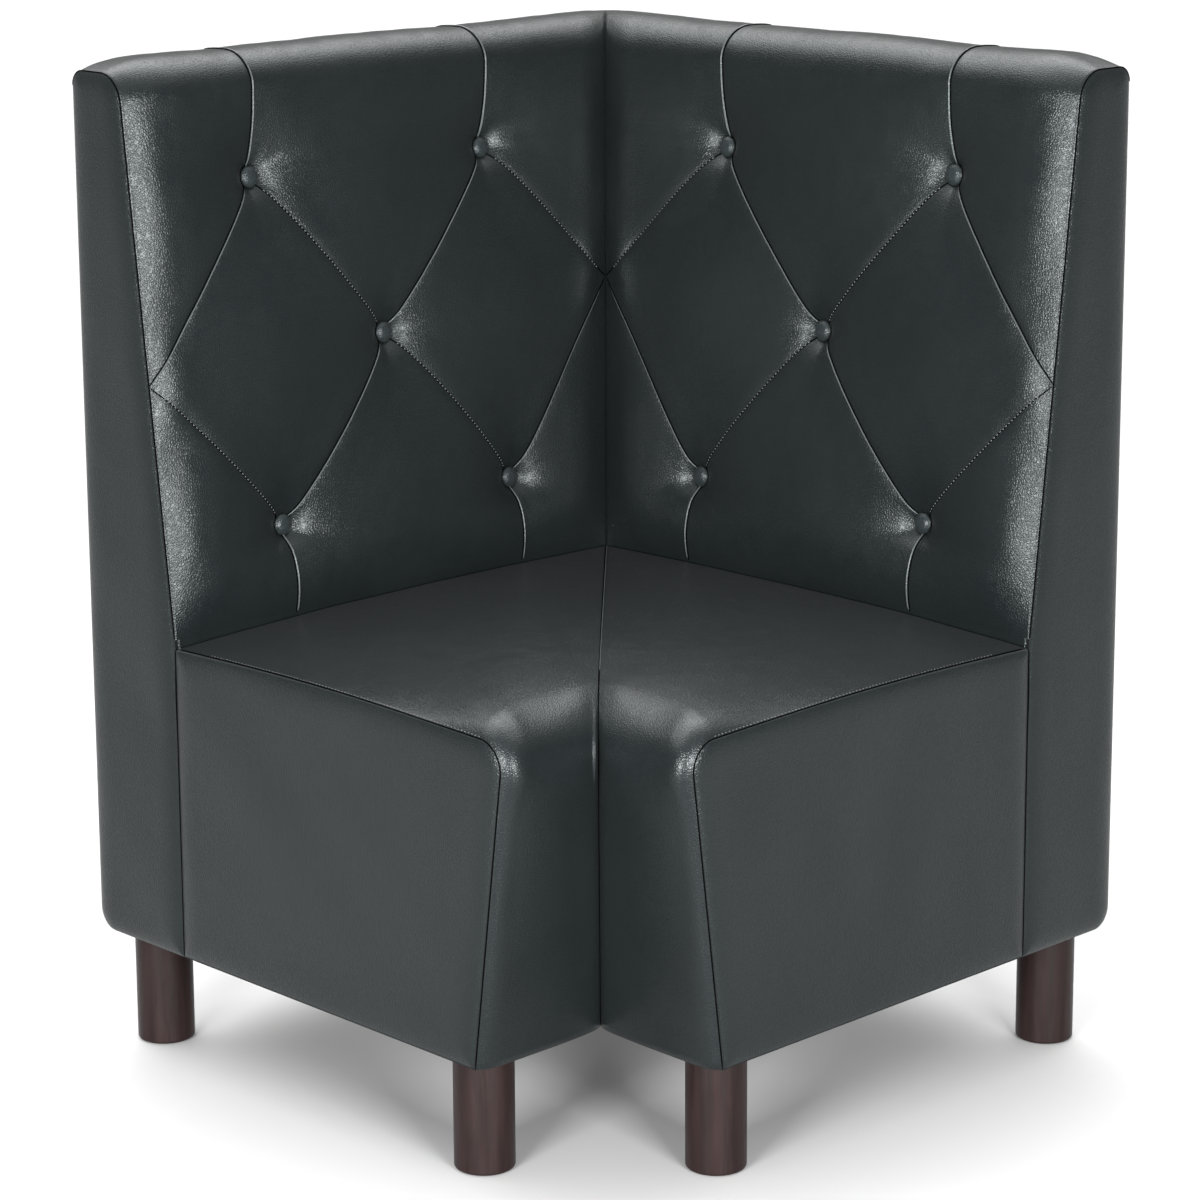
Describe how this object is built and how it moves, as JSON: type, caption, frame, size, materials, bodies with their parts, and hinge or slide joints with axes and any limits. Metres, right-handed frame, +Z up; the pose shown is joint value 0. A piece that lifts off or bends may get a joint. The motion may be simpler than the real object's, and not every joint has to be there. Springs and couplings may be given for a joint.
{
  "type": "corner bench",
  "caption": "Upholstered corner bench unit: two tall leaning backs with diamond buttoning meet over a padded seat notched at the front, on round wooden legs.",
  "frame": {"origin": "centre of the bench's square plan, on the floor", "axes": "+Z up; the right back runs along X at +Y and faces -Y; the left back runs along Y at -X and faces +X; the open corner with the seat's notch faces +X -Y"},
  "size_m": [0.75, 0.75, 1.04],
  "materials": {
    "leather": "dark slate grey faux leather, fine pebbled grain, satin",
    "leg_wood": "dark wenge stain, satin lacquer",
    "nylon": "matt black",
    "lining": "black spun-bonded cloth",
    "foam": "cream open-cell foam",
    "wadding": "white fibre wadding",
    "twine": "waxed natural twine",
    "plywood": "raw birch plywood",
    "hardboard": "raw brown hardboard",
    "softwood": "planed softwood",
    "zinc_steel": "zinc plated"
  },
  "bodies": {
    "root": {"back_cover_right": "leather", "back_cover_left": "leather", "end_cover_right": "leather", "end_cover_left": "leather", "rear_cover_right": "leather", "rear_cover_left": "leather", "seat_cover_right": "leather", "seat_cover_left": "leather", "side_cover_right": "leather", "side_cover_left": "leather", "dust_cover_right": "lining", "dust_cover_left": "lining", "back_foam_right": "foam", "back_foam_left": "foam", "seat_foam_right": "foam", "seat_foam_left": "foam", "end_wadding_right": "wadding", "end_wadding_left": "wadding", "side_wadding_right": "wadding", "side_wadding_left": "wadding", "buttons_right": "leather", "buttons_left": "leather", "button_twines_right": "twine", "button_twines_left": "twine", "button_washers_right": "zinc_steel", "button_washers_left": "zinc_steel", "face_board_right": "plywood", "face_board_left": "plywood", "rear_board_right": "hardboard", "rear_board_left": "hardboard", "end_gable_right": "plywood", "end_gable_left": "plywood", "back_ribs_right": "plywood", "back_ribs_left": "plywood", "top_rail_right": "softwood", "top_rail_left": "softwood", "rear_rail_right": "softwood", "rear_rail_left": "softwood", "deck_ledger_right": "softwood", "deck_ledger_left": "softwood", "front_panel_right": "plywood", "front_panel_left": "plywood", "seat_deck": "plywood", "notch_post": "softwood", "corner_batten": "softwood", "leg_blocks": "softwood", "leg_end_right": "leg_wood", "leg_end_left": "leg_wood", "leg_front_right": "leg_wood", "leg_front_left": "leg_wood", "leg_corner": "leg_wood", "hanger_bolts": "zinc_steel", "tee_nuts": "zinc_steel", "glides": "nylon", "deck_screws": "zinc_steel"}
  },
  "joints": []
}
